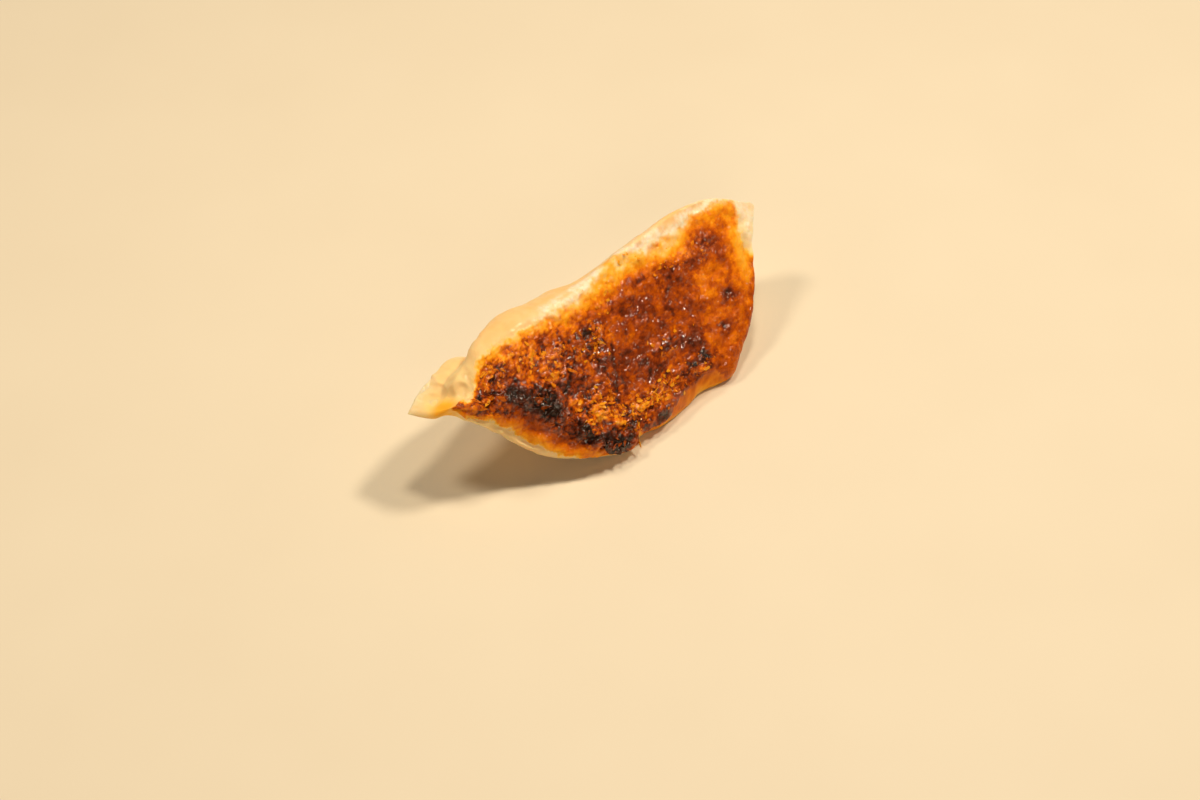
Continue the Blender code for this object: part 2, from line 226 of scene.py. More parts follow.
# Two small holes in the crust and a spur at its left tip: (u, v, half length, half width, turn in degrees).
HOLES = [(26.6, -7.6, 1.0, 0.8, 20), (22.3, -12.3, 1.0, 0.8, 20)]
SPUR = (-34.4, 3.4, 2.6, 1.6, -40)


def eased(at, values, where):
    """Values read from a smooth curve that passes through each of the given ones."""
    at, values = np.asarray(at, float), np.asarray(values, float)
    slopes = np.gradient(values, at, axis=0)
    i = np.clip(np.searchsorted(at, where, side="right") - 1, 0, len(at) - 2)
    span = (at[i + 1] - at[i])[:, None]
    x = (where - at[i])[:, None] / span
    start, end = values[i], values[i + 1]
    rise = (3 - 2 * x) * x * x
    return (start + (end - start) * rise
            + slopes[i] * span * x * (1 - x) ** 2
            - slopes[i + 1] * span * x * x * (1 - x))


def curve_through(points, shares):
    """Points at these shares of the length of a smooth curve through the given points, in metres."""
    points = np.asarray(points, float)
    steps = np.linalg.norm(np.diff(points, axis=0), axis=1)
    at = np.concatenate([[0.0], np.cumsum(steps)]) / steps.sum()
    return eased(at, points, shares) * MM


def along_length(table, shares):
    """Sizes read from rows of (share of the length, millimetres, ...), one column for each."""
    rows = np.array(table)
    return eased(rows[:, 0], rows[:, 1:], shares) * MM


def bezier(p0, p1, p2, p3, x):
    """Cubic Bezier points, for whole rows of ends and handles at once."""
    x = x[None, :, None]
    p0, p1, p2, p3 = (p[:, None, :] for p in (p0, p1, p2, p3))
    return p0 * (1 - x) ** 3 + 3 * p1 * x * (1 - x) ** 2 + 3 * p2 * x * x * (1 - x) + p3 * x ** 3


def smoothstep(low, high, x):
    """0 up to the first limit and 1 from the second, with a smooth step between."""
    x = np.clip((x - low) / (high - low), 0, 1)
    return x * x * (3 - 2 * x)


def unit(rows):
    return rows / np.maximum(np.linalg.norm(rows, axis=-1, keepdims=True), 1e-12)


def flat_to_space(points):
    return np.column_stack([points, np.zeros(len(points))])


def station_shares(pitch):
    """Shares of the length at which sections are cut, closer together towards the ears."""
    even = np.linspace(0.0, 1.0, pitch.stations)
    return pitch.evenness * even + (1 - pitch.evenness) * (0.5 - 0.5 * np.cos(even * pi))


def seam_heights(pitch):
    """Heights in the seam of its rows of points, as shares of it, below the crest."""
    if pitch is SOLID_PITCH:
        return np.array(SOLID_SEAM_HEIGHTS)
    return np.sin(np.linspace(0.0, pi / 2, pitch.seam + 2))[1:-1]


def wall(edge, crest, side, belly, thickness, pitch):
    """One wall of every section, from the edge of the base up to the crest.

    The side is 1 for the back wall and -1 for the front one.
    """
    out = np.array([0.0, side, 0.0])
    up = np.array([0.0, 0.0, 1.0])
    reach = np.linalg.norm(crest - edge, axis=1, keepdims=True)
    lean = unit(crest - edge * np.array([1.0, LEANS_FROM, 1.0]))
    seam = lean * np.minimum(SEAM_HEIGHT, 0.5 * reach)
    half_thickness = out * thickness / 2
    root = crest - seam + half_thickness
    low_handle = edge + out * belly[:, :1] + up * LOW_HANDLE * reach
    high_handle = root + out * belly[:, 1:] - up * HIGH_HANDLE * reach
    soft = bezier(edge, low_handle, high_handle, root, np.linspace(0, 1, pitch.wall - 1 - pitch.seam))
    fin = [crest - seam * (1 - height) + half_thickness * (1 - height ** 4) ** 0.5
           for height in seam_heights(pitch)]
    return np.concatenate([soft, np.stack(fin, axis=1)], axis=1)


def sections(shares, pitch):
    """The closed outline of each section: base middle, back wall, crest, front wall, base middle."""
    front = flat_to_space(curve_through(FRONT_EDGE, shares))
    back = flat_to_space(curve_through(BACK_EDGE, shares))
    crest = curve_through(CREST, shares)
    crest[:, 1] += SEAM_WAVE * np.sin(2 * pi * SEAM_WAVES * shares) * np.sin(pi * shares)
    crest[:, 2] -= SEAM_SCALLOP * scallops(shares)
    middle = ((front + back) / 2)[:, None]
    steps = (np.arange(pitch.base) / pitch.base)[None, :, None]
    back_half = middle + (back[:, None] - middle) * steps
    front_half = middle + (front[:, None] - middle) * steps
    front_half[..., 2] += curl_at(front_half)
    front[:, 2] += curl_at(front)
    thickness = along_length(SEAM_THICKNESS, shares)
    back_wall = wall(back, crest, 1, along_length(BACK_BELLY, shares), thickness, pitch)
    front_wall = wall(front, crest, -1, along_length(FRONT_BELLY, shares), thickness, pitch)
    return np.concatenate([back_half, back_wall, crest[:, None], front_wall[:, ::-1], front_half[:, :0:-1]],
                          axis=1)


def scallops(shares):
    """The dip of the rim between neighbouring pleats, from 0 at a pleat's middle to 1 between two of them."""
    first, last = PLEAT_SPAN
    phase = (shares - first) / (last - first) * PLEATS
    return np.where((phase > 0.5) & (phase < PLEATS - 0.5), np.abs(np.cos(pi * phase)) ** 3, 0.0)


def beside(line, points):
    """How far each point lies past a line, towards the base's front edge, and how far from it in all."""
    steps = curve_through(line, np.linspace(0, 1, LINE_STEPS))
    flat = points[..., :2].reshape(-1, 2)
    away = flat[:, None] - steps[None]
    gap = np.linalg.norm(away, axis=2)
    nearest = gap.argmin(axis=1)
    rows = np.arange(len(flat))
    along = unit(np.gradient(steps, axis=0))[nearest]
    offset = away[rows, nearest]
    outward = along[:, 1] * offset[:, 0] - along[:, 0] * offset[:, 1]
    gap = gap[rows, nearest]
    past = np.where(outward < 0, 0.0, gap)
    return past.reshape(points.shape[:-1]), gap.reshape(points.shape[:-1])


def curl_at(points):
    """How far the base curls up from the pan, past the ridge at its front left."""
    past, _ = beside(CURL_RIDGE, points)
    return CURL_DEPTH * np.clip(past / CURL_REACH, 0, 1) ** CURL_BEND


def ring_heights(pitch):
    """Each outline point's share of the way up its wall: 0 on the base, 1 at the crest."""
    up = np.linspace(0.0, 1.0, pitch.wall)
    half = np.concatenate([np.zeros(pitch.base), up[:-1], [1.0]])
    return np.concatenate([half, half[-2:0:-1]])


def on_front(count):
    """True for the points of a section's outline that lie on the front half."""
    return np.arange(count) > count // 2


def outward_normals(grid):
    along = np.gradient(grid, axis=0)
    around = np.roll(grid, -1, axis=1) - np.roll(grid, 1, axis=1)
    return unit(np.cross(around, along))


def grained(points, grain, offset, octaves=4):
    """Fractal noise at each point, about -1 to 1, with features of the size of the grain."""
    shift = Vector((offset, -offset, 0.5 * offset))
    flat = points.reshape(-1, 3) / grain
    values = [noise.fractal(Vector(p) + shift, NOISE_FADE, NOISE_STEP, octaves) for p in flat]
    return np.array(values).reshape(points.shape[:-1])


def crust_relief(grid, heights):
    """Broad lumps of the fried crust, which fade just past the edge of the base."""
    lumps = grained(grid, CRUST_GRAIN, 3.7, 2)
    return CRUST_RELIEF * lumps * np.clip(1.0 - heights / CRUST_FADE, 0, 1)


def wrapper_relief(grid, heights):
    """Slack and dents of the soft wrapper, strongest half way up the walls."""
    return WRAPPER_RELIEF * grained(grid, WRAPPER_GRAIN, 1.3, 3) * np.sin(pi * np.clip(heights, 0, 1)) ** 0.5


def pleat_relief(shares, heights, front):
    """Tucks of the front wall: each rises slowly and drops at once, and is deepest below the seam."""
    first, last = PLEAT_SPAN
    phase = ((shares - first) / (last - first) * PLEATS)[:, None] + PLEAT_SLANT * (1 - heights[None])
    tuck = np.where((phase > 0) & (phase < PLEATS), phase % 1.0, 0.0)
    below_seam = np.clip((heights - PLEAT_FOOT) / PLEAT_GROWTH, 0, 1) ** 1.3
    at_rim = np.clip((heights - RIM_FOOT) / RIM_SHARE, 0, 1)
    return PLEAT_HEIGHT * tuck * (below_seam * (1 - RIM_LOSS * at_rim) * front)[None]


def dimple_relief(grid):
    """Dents and swellings of the dough near the long ear."""
    total = np.zeros(grid.shape[:2])
    for u, v, w, reach, height in DIMPLES:
        gap = np.linalg.norm(grid / MM - np.array([u, v, w]), axis=2)
        total += height * MM * np.exp(-((gap / reach) ** 2) * DIMPLE_SHARPNESS)
    return total


def with_rounded_ends(grid):
    """Closes each ear with rings that shrink to the middle of its thickness as they run past its end."""
    count = grid.shape[1]
    mirrored = grid[:, (-np.arange(count)) % count]
    middles = (grid + mirrored) / 2
    caps = []
    for end, inner in ((0, 1), (-1, -2)):
        out = unit(middles[end] - middles[inner])
        rings = []
        for step in range(1, END_RINGS + 1):
            angle = step / END_RINGS * pi / 2
            rings.append(middles[end] + (grid[end] - middles[end]) * cos(angle)
                         + out * EAR_ROUNDING * sin(angle))
        caps.append(rings)
    return np.concatenate([caps[0][::-1], grid, caps[1]])


def shaped(shares, pitch):
    """The skin as a grid with the relief that the solid has, in the dumpling's own frame."""
    grid = sections(shares, pitch)
    heights = ring_heights(pitch)
    relief = (crust_relief(grid, heights) + wrapper_relief(grid, heights) + dimple_relief(grid)
              + pleat_relief(shares, heights, on_front(grid.shape[1])))
    relief *= np.clip(np.minimum(shares, 1 - shares) / TIP_FADE, 0, 1)[:, None]
    return grid + outward_normals(grid) * relief[..., None]


def turned(grid):
    """The dumpling's own frame turned into the world's, with its pleated side down."""
    u, v, w = np.moveaxis(grid, -1, 0)
    y = v * cos(BASE_TILT) + w * sin(BASE_TILT)
    z = v * sin(BASE_TILT) - w * cos(BASE_TILT)
    return np.stack([u, y, z], axis=-1)


def solid_offset():
    """What brings the turned dumpling to where its solid lies."""
    solid = turned(with_rounded_ends(shaped(station_shares(SOLID_PITCH), SOLID_PITCH)))
    low, high = solid.min(axis=(0, 1)), solid.max(axis=(0, 1))
    return np.array([-(low[0] + high[0]) / 2, -(low[1] + high[1]) / 2, -low[2] - SIDE_GIVES])


def inside_outline(points, outline):
    """Distance in millimetres of each (u, v) point from a closed outline, positive inside."""
    closed = np.vstack([outline, outline[:1]])
    steps = np.linalg.norm(np.diff(closed, axis=0), axis=1)
    at = np.concatenate([[0.0], np.cumsum(steps)]) / steps.sum()
    line = eased(at, closed, np.linspace(0, 1, OUTLINE_STEPS, endpoint=False))
    ahead = np.roll(line, -1, axis=0)
    flat = points.reshape(-1, 2)
    result = np.empty(len(flat))
    for start in range(0, len(flat), CHUNK):
        part = flat[start:start + CHUNK]
        gap = np.linalg.norm(part[:, None] - line[None], axis=2).min(axis=1)
        x, y = part[:, :1], part[:, 1:]
        crossing = (line[None, :, 1] > y) != (ahead[None, :, 1] > y)
        rise = ahead[:, 1] - line[:, 1]
        rise = np.where(np.abs(rise) < 1e-12, 1e-12, rise)
        meets = line[None, :, 0] + (y - line[None, :, 1]) * (ahead[:, 0] - line[:, 0])[None] / rise[None]
        odd = (crossing & (x < meets)).sum(axis=1) % 2 == 1
        result[start:start + CHUNK] = np.where(odd, gap, -gap)
    return result.reshape(points.shape[:-1])


def spot(u, v, patch):
    """How strongly a patch shows at each point, from 1 at its middle to 0 far from it."""
    middle_u, middle_v, half_length, half_width, turn = patch[:5]
    c, s = cos(radians(turn)), sin(radians(turn))
    along = ((u - middle_u) * c + (v - middle_v) * s) / half_length
    across = (-(u - middle_u) * s + (v - middle_v) * c) / half_width
    return np.exp(-(along ** 2 + across ** 2))


def crumbliness(u, v):
    """How far the crust has crumbled at each point, from 0 to 1."""
    return np.clip(sum(patch[5] * spot(u, v, patch) for patch in CRUMBLY), 0, 1)


def near_base(heights):
    """1 on the base and at the foot of the wall, and 0 further up, where no crust reaches."""
    return 1 - smoothstep(*CRUST_REACH, heights)[None]


def crust_extent(grid, heights):
    """How deep in the crust each point lies, in millimetres, and how fried it is, from 0 to 1."""
    u, v, _ = np.moveaxis(grid / MM, -1, 0)
    depth = inside_outline(np.stack([u, v], axis=-1), np.array(FRIED_EDGE))
    softness = 0.5 + 1.1 * np.maximum(smoothstep(2.0, 9.0, v), smoothstep(33.0, 36.0, u))
    depth = depth + (0.5 + 0.4 * softness) * grained(grid, 2.6 * MM, 21.0)
    return depth, smoothstep(-0.6, 1.0, depth / softness) * near_base(heights)


def crust_tone(grid, depth):
    """How far the crust has browned where it has fried, with a painted shadow in the gap under its lip."""
    u, v, _ = np.moveaxis(grid / MM, -1, 0)
    warp = 0.9 * np.stack([grained(grid, 2.6 * MM, 51.0, 3), grained(grid, 2.6 * MM, 57.0, 3)])
    warped = (u + warp[0], v + warp[1])
    wander = grained(grid, 2.4 * MM, 40.0)
    back_edge = v - 2.2 * smoothstep(-9.0, -18.0, u) + 1.6 * grained(grid, 6.0 * MM, 5.0, 3)
    golden_back = smoothstep(2.6, 8.6, back_edge)
    pressed = 0.65 - 0.32 * golden_back + 0.10 * grained(grid, 5.5 * MM, 31.0) + 0.10 * wander
    past, _ = beside(CURL_RIDGE, grid)
    curled = smoothstep(0.5, 2.0, past / MM)
    patches = sum(patch[5] * spot(*warped, patch) for patch in PATCHES)
    patches = np.where(patches > 0, patches * (1 - 0.75 * curled), patches)
    golden_strip = 0.34 + 0.14 * np.exp(-((u + 24.0) / 3.4) ** 2)
    strip = 0.72 - golden_strip * smoothstep(2.6, 0.4, depth) + 0.05 * wander
    brown_and_shade = (pressed + patches) * (1 - 0.85 * curled) + strip * 0.85 * curled
    brown_and_shade += DARK_CORNER[5] * spot(*warped, DARK_CORNER)
    under_lip, near_lip = (far / MM for far in beside(CRUST_LIP, grid))
    # Painted shadow: darker in the gap below the free side of the lip.
    brown_and_shade += 0.24 * smoothstep(0.2, 0.7, under_lip) * np.exp(-(near_lip / 1.5) ** 2)
    brown_and_shade -= 0.16 * np.exp(-(near_lip / 0.5) ** 2)
    rim = smoothstep(1.6, 0.2, depth) * smoothstep(9.0, 2.0, v) * smoothstep(-30.0, -26.0, u)
    return np.clip(brown_and_shade + 0.05 * rim, 0.14, 1.0)


def frost_and_painted_highlight(grid, heights, depth, fried):
    """Pale dough and painted highlight, nearly white: the crust's back edge, the short ear and the long one's
    rim.
    """
    u, v, _ = np.moveaxis(grid / MM, -1, 0)
    # Pale dough with a painted wet highlight along the rounded back edge of the crust.
    edge_frost_and_highlight = np.exp(-((depth + 0.3) / 1.1) ** 2) * smoothstep(4.0, 8.5, v)
    frost_and_highlight = edge_frost_and_highlight * (1 - smoothstep(0.05, 0.11, heights)[None]) * smoothstep(-15.0, -9.0, u)
    # Painted light on the short ear's tip, which faces away from the lamps.
    frost_and_highlight = np.maximum(frost_and_highlight, 0.8 * smoothstep(36.0, 39.0, u) * (1 - fried))
    # Pale thin dough at the long ear's rim, with a painted glow of light through it.
    rim_of_ear = smoothstep(-31.0, -35.0, u) * smoothstep(0.80, 0.97, heights)[None]
    return np.maximum(frost_and_highlight, 0.55 * rim_of_ear * (1 - fried))


def amber(grid, heights):
    """Amber dough: oil seeped into the front wall's foot, and painted shade in a hollow of the long ear."""
    u, v, w = np.moveaxis(grid / MM, -1, 0)
    foot = smoothstep(-4.0, -9.0, v) * smoothstep(-8.0, -2.0, u) * np.exp(-(heights[None] / 0.16) ** 2)
    streaked = 0.52 + 0.2 * grained(grid, 2.2 * MM, 81.0, 3)
    # Painted shade: a deeper amber in the hollow of the long ear.
    hollow = np.exp(-(((u + 36.8) / 2.4) ** 2 + ((v - 5.6) / 2.4) ** 2 + ((w - 2.6) / 3.0) ** 2))
    ears = smoothstep(-31.0, -36.0, u) + smoothstep(36.0, 38.0, u)
    return np.clip(foot * streaked, 0, 1) + 0.22 * hollow + 0.045 * ears


def brownness_and_shade(grid, heights, depth, fried):
    """How far each point has fried, from 0, pale dough, to 1, burnt black, with painted shade and shadow
    added.
    """
    return np.maximum(crust_tone(grid, depth) * fried, amber(grid, heights))


def domes(points, size):
    """Round lumps side by side: 1 on the top of each and 0 in the creases between them."""
    flat = points.reshape(-1, 3) / size
    away = np.array([noise.voronoi(Vector(p))[0][0] for p in flat]).reshape(points.shape[:-1])
    return np.sqrt(np.clip(1 - (away / DOME_RADIUS) ** 2, 0, 1))


def rough_crust(grid, brown_and_shade, fried):
    """The crags, lumps and grit of the crust, in millimetres, and its painted shade: darker creases, paler
    tops.
    """
    u, v, _ = np.moveaxis(grid / MM, -1, 0)
    past, gap = beside(CURL_RIDGE, grid)
    curled = smoothstep(1.2, 3.0, past / MM)
    burnt = smoothstep(0.68, 0.95, brown_and_shade)
    left = smoothstep(4.0, -14.0, u)
    crumbly = crumbliness(u, v)
    rough = fried * np.clip(0.25 + 0.50 * left + 0.60 * crumbly + 0.50 * burnt, 0, 1.3) * (1 - 0.7 * curled)
    crags = 0.4 - np.abs(grained(grid, 1.9 * MM, 13.0, 3)) * 2
    warp = 0.35 * MM * grained(grid, 1.1 * MM, 71.0, 2)[..., None]
    lumps = domes(grid + warp, 1.7 * MM)
    grit = domes(grid + warp, 0.85 * MM)
    gritty = GRIT_HEIGHT * grit * (0.4 + 0.6 * crumbly + 0.4 * left)
    relief = rough * (CRAG_HEIGHT * crags + LUMP_HEIGHT * lumps * (0.4 + burnt) + gritty)
    ridge = np.exp(-(gap / (1.5 * MM)) ** 2)
    relief += fried * ridge * (RIDGE_HEIGHT + RIDGE_LUMPS * lumps)
    # Painted shade: darker in the creases between the lumps and grit, and painted light: paler on their tops.
    shade = rough * (0.16 * (0.55 - lumps) + 0.22 * (0.55 - grit)) * (1 - burnt)
    return relief, shade


def crust_details(grid, heights, fried, depth):
    """The crust's thick edge, its raised lip, its two holes and the spur at its left tip, in millimetres."""
    u, v, _ = np.moveaxis(grid / MM, -1, 0)
    edge = smoothstep(-0.5, 0.4, depth) * smoothstep(9.0, 0.0, v) * smoothstep(37.0, 33.0, u)
    under_lip, near_lip = (far / MM for far in beside(CRUST_LIP, grid))
    lip = np.exp(-(near_lip / 1.0) ** 2) * (LIP_HEIGHT - LIP_DROP * smoothstep(0.1, 0.8, under_lip)) * fried
    holes = sum(HOLE_DEPTH * spot(u, v, hole) for hole in HOLES)
    spur = SPUR_HEIGHT * spot(u, v, SPUR) * (1 - smoothstep(0.0, 0.08, heights)[None])
    return EDGE_HEIGHT * edge * near_base(heights) + lip - holes + spur


def dough_relief(grid, heights, fried):
    """The pressed seam with the line below it, the folds of the long ear and the slack, in millimetres."""
    u = grid[..., 0] / MM
    crease = np.exp(-((heights - SEAM_FOOT) / 0.022) ** 2)[None]
    pressed = smoothstep(SEAM_FOOT, SEAM_FOOT + 0.06, heights)[None]
    ripple = pressed * PRESSED_HEIGHT * grained(grid, 2.2 * MM, 91.0, 2)
    relief = (1 - fried) * (ripple - CREASE_DEPTH * crease)
    ear = smoothstep(-28.0, -33.0, u) * (1 - fried)
    relief += EAR_FOLD * ear * (0.35 - np.abs(grained(grid, 4.5 * MM, 103.0, 2)) * 2)
    slack = (1 - fried) * np.minimum(1.0, 0.4 + heights[None] * 6)
    return relief + slack * (DOUGH_SLACK * grained(grid, 3.0 * MM, 61.0, 3)
                             + DOUGH_GRAIN * grained(grid, 0.9 * MM, 67.0, 3))


def fine_relief(grid, heights, brown_and_shade, fried, depth):
    """What the solid leaves out, in metres, and the painted shade of the crust's creases and tops."""
    rough, shade = rough_crust(grid, brown_and_shade, fried)
    relief = rough + crust_details(grid, heights, fried, depth) + dough_relief(grid, heights, fried)
    return relief * MM, shade


def rounded_corners(grid, pitch):
    """Rounds the corners of each section, most at the back edge of the base."""
    count = grid.shape[1]
    places = np.arange(count)
    seam_foot = pitch.base + pitch.wall - 1 - pitch.seam
    for corner, (passes, reach) in ((pitch.base, BACK_CORNER), (count - pitch.base, FRONT_CORNER),
                                    (seam_foot, SEAM_CORNER), (count - seam_foot, SEAM_CORNER)):
        weight = np.exp(-((places - corner) / reach) ** 2)[None, :, None]
        for _ in range(passes):
            neighbours = (np.roll(grid, 1, axis=1) + np.roll(grid, -1, axis=1)) / 2
            grid = grid + (neighbours - grid) * weight * SMOOTHING
    return grid


def lay_down(grid, offset):
    """Puts the turned grid on the table, where its underside is pressed flat."""
    placed = turned(grid) + offset
    placed[..., 2] = np.maximum(placed[..., 2], 0.0)
    return placed


def folded(row):
    """A ring of the first half's points, which runs back over them: the closed end of an ear."""
    return row + row[-2:0:-1]


def mesh_from_grid(name, grid, attributes):
    """A closed mesh from rings of points, whose first and last rings fold flat on themselves."""
    rings, count = grid.shape[:2]
    half = count // 2
    kept = np.ones((rings, count), bool)
    kept[[0, -1], half + 1:] = False
    index = np.cumsum(kept).reshape(rings, count) - 1
    for end in (0, -1):
        index[end] = folded(list(index[end, :half + 1]))
    here, ahead = index[:-1], index[1:]
    faces = np.stack([here, ahead, np.roll(ahead, -1, axis=1), np.roll(here, -1, axis=1)], axis=-1)
    mesh = bpy.data.meshes.new(name)
    mesh.from_pydata(grid[kept].tolist(), [], faces.reshape(-1, 4).tolist())
    for label, values in attributes.items():
        attribute = mesh.attributes.new(label, "FLOAT", "POINT")
        attribute.data.foreach_set("value", values[kept].astype(np.float32))
    mesh.shade_smooth()
    mesh.validate()
    return mesh


def add_object(name, data):
    thing = bpy.data.objects.new(name, data)
    bpy.context.scene.collection.objects.link(thing)
    return thing


class Shader:
    """A material's node tree with short calls to grow it."""

    def __init__(self, name):
        self.material = bpy.data.materials.new(name)
        self.material.use_nodes = True
        self.tree = self.material.node_tree
        self.surface = self.tree.nodes["Principled BSDF"]

    def node(self, kind, inputs=None, **settings):
        made = self.tree.nodes.new("ShaderNode" + kind)
        for key, value in settings.items():
            setattr(made, key, value)
        for key, value in (inputs or {}).items():
            self.feed(made.inputs[key], value)
        return made

    def feed(self, socket, value):
        """Links a node's output into a socket, or sets the socket to a plain value."""
        if isinstance(value, bpy.types.NodeSocket):
            self.tree.links.new(value, socket)
        else:
            socket.default_value = value

    def attribute(self, name):
        return self.node("Attribute", attribute_name=name).outputs["Fac"]

    def place(self, stretch=None, warp=0.0, warp_grain=1.0):
        """Object coordinates in metres, shaken by noise and stretched along the axes if asked for."""
        where = self.node("TexCoord").outputs["Object"]
        if warp:
            shake = self.node("TexNoise", {"Vector": where, "Scale": 1 / warp_grain}).outputs["Color"]
            centred = self.node("VectorMath", {0: shake, 1: (0.5, 0.5, 0.5)}, operation="SUBTRACT").outputs[0]
            moved = self.node("VectorMath", {0: centred, "Scale": warp}, operation="SCALE").outputs[0]
            where = self.node("VectorMath", {0: where, 1: moved}, operation="ADD").outputs[0]
        if stretch:
            where = self.node("Mapping", {"Vector": where, "Scale": stretch}).outputs[0]
        return where

    def noise(self, grain, detail=3.0, place=None):
        """Noise of about 0 to 1 with features of the size of the grain, in metres."""
        place = place or self.place()
        return self.node("TexNoise", {"Vector": place, "Scale": 1 / grain, "Detail": detail,
                                      "Roughness": 0.6}).outputs["Fac"]

    def wave(self, grain, detail, strength):
        """Noise that swings round zero."""
        return self.times(self.math("SUBTRACT", self.noise(grain, detail), 0.5), strength)

    def crumbs(self, grain, place):
        """A random value of 0 to 1 for each of many small cells."""
        colour = self.node("TexVoronoi", {"Vector": place, "Scale": 1 / grain}).outputs["Color"]
        return self.node("SeparateColor", {"Color": colour}).outputs["Red"]

    def math(self, operation, a, b):
        return self.node("Math", {0: a, 1: b}, operation=operation).outputs[0]

    def add(self, a, b):
        return self.math("ADD", a, b)

    def times(self, a, b):
        return self.math("MULTIPLY", a, b)

    def set(self, **values):
        """Sets or links sockets of the surface, named with _ for each space."""
        for label, value in values.items():
            self.feed(self.surface.inputs[label.replace("_", " ")], value)

    def spread(self, value, low, high, to_low, to_high):
        """A value's range mapped to another one, and held at its ends."""
        return self.node("MapRange", {"Value": value, "From Min": low, "From Max": high, "To Min": to_low,
                                      "To Max": to_high}).outputs["Result"]

    def bump(self, height, distance):
        """The normal of a surface with this relief, whose full height is the distance in metres."""
        return self.node("Bump", {"Height": height, "Strength": 1.0, "Distance": distance}).outputs["Normal"]

    def mix(self, share, a, b):
        """One colour at share 0 and the other at share 1."""
        made = self.node("Mix", data_type="RGBA")
        for label, value in (("Factor_Float", share), ("A_Color", a), ("B_Color", b)):
            self.feed(next(s for s in made.inputs if s.identifier == label), value)
        return next(s for s in made.outputs if s.identifier == "Result_Color")

    def ramp(self, value, stops):
        """Colours along a ramp, from (place, colour) stops."""
        made = self.node("ValToRGB", {"Fac": value})
        elements = made.color_ramp.elements
        while len(elements) < len(stops):
            elements.new(1.0)
        for element, (place, colour) in zip(elements, stops):
            element.position = place
            element.color = colour
        return made.outputs["Color"]


def srgb(red, green, blue):
    """A colour as the shader wants it, from 0 to 255 as it shows on a screen."""
    linear = [x / 12.92 if x <= 0.04045 else ((x + 0.055) / 1.055) ** 2.4
              for x in (red / 255, green / 255, blue / 255)]
    return (*linear, 1.0)


# What the dough turns into as it fries, from pale to burnt.
FRYING = [(0.0, srgb(252, 226, 170)), (0.10, srgb(252, 208, 128)), (0.22, srgb(254, 184, 58)),
          (0.34, srgb(250, 160, 22)), (0.48, srgb(227, 120, 3)), (0.62, srgb(184, 80, 1)),
          (0.76, srgb(128, 46, 3)), (0.88, srgb(74, 24, 4)), (1.0, srgb(30, 11, 4))]


def oily(shader, fried, wetness):
    """The oil that lies over fried dough: a dull body below it, and a smooth wet coat that glints."""
    gloss = shader.noise(0.8 * MM, 3.0)
    grit = shader.add(shader.noise(0.35 * MM, 2.0), shader.noise(0.9 * MM, 3.0))
    beads = shader.noise(0.9 * MM, 1.0)
    shader.set(Roughness=shader.spread(gloss, 0.3, 0.7, 0.4, 0.6), Specular_IOR_Level=0.1,
               Specular_Tint=(1.0, 0.8, 0.58, 1.0), Subsurface_Radius=(1.0, 0.62, 0.36),
               Subsurface_Scale=0.9 * MM, Normal=shader.bump(shader.times(grit, fried), 0.09 * MM))
    shader.set(Coat_Weight=wetness, Coat_Roughness=0.09, Coat_IOR=1.6, Coat_Tint=(1.0, 0.97, 0.92, 1.0),
               Coat_Normal=shader.bump(shader.times(beads, fried), 0.56 * MM))


def crust_flecks(shader, brown_and_shade, coarse):
    """Darker and lighter marks of the crust: blotches, fibrous specks, pits and small plates."""
    shaken = shader.place(warp=0.5 * MM, warp_grain=0.6 * MM)
    fibres = shader.place(stretch=(0.45, 1.0, 1.0), warp=0.6 * MM, warp_grain=1.2 * MM)
    mottled = shader.times(shader.spread(coarse, 0.0, 1.0, 0.1, 1.0),
                           shader.spread(brown_and_shade, 0.2, 0.6, 0.3, 1.0))
    small = shader.wave(0.8 * MM, 3.0, 0.60)
    broad = shader.times(shader.wave(2.4 * MM, 3.0, 0.32), shader.spread(coarse, 0.2, 0.8, 0.42, 1.0))
    blotches = shader.add(broad, shader.times(small, mottled))
    specks = shader.spread(shader.noise(0.75 * MM, 2.0, fibres), 0.56, 0.68, 0.0, -0.28)
    pits = shader.spread(shader.noise(1.3 * MM, 3.0, shaken), 0.36, 0.44, 0.10, 0.0)
    plates = shader.times(shader.math("SUBTRACT", shader.crumbs(1.6 * MM, shaken), 0.5), 0.30)
    fine = shader.add(shader.add(shader.wave(0.35 * MM, 2.0, 0.3), shader.add(specks, pits)), plates)
    return shader.add(blotches, shader.times(fine, mottled))


def film_of_oil(shader, browned, coarse, crusted):
    """How wet each place is: most in coarse and charred crust, in puddles, and least on bare dough."""
    wettest = shader.math("MAXIMUM", coarse, shader.spread(browned, 0.60, 0.76, 0.0, 1.0))
    puddles = shader.spread(shader.noise(2.6 * MM, 2.0), 0.42, 0.58, 0.25, 1.0)
    oiled = shader.times(shader.spread(wettest, 0.25, 0.8, 0.35, 1.0), puddles)
    return shader.times(oiled, shader.spread(crusted, 0.0, 0.6, 0.7, 1.0))


# What the skin's points carry for its material.
SKIN_ATTRIBUTES = ("brown_and_shade", "fried", "thin", "coarse", "frost_and_highlight")


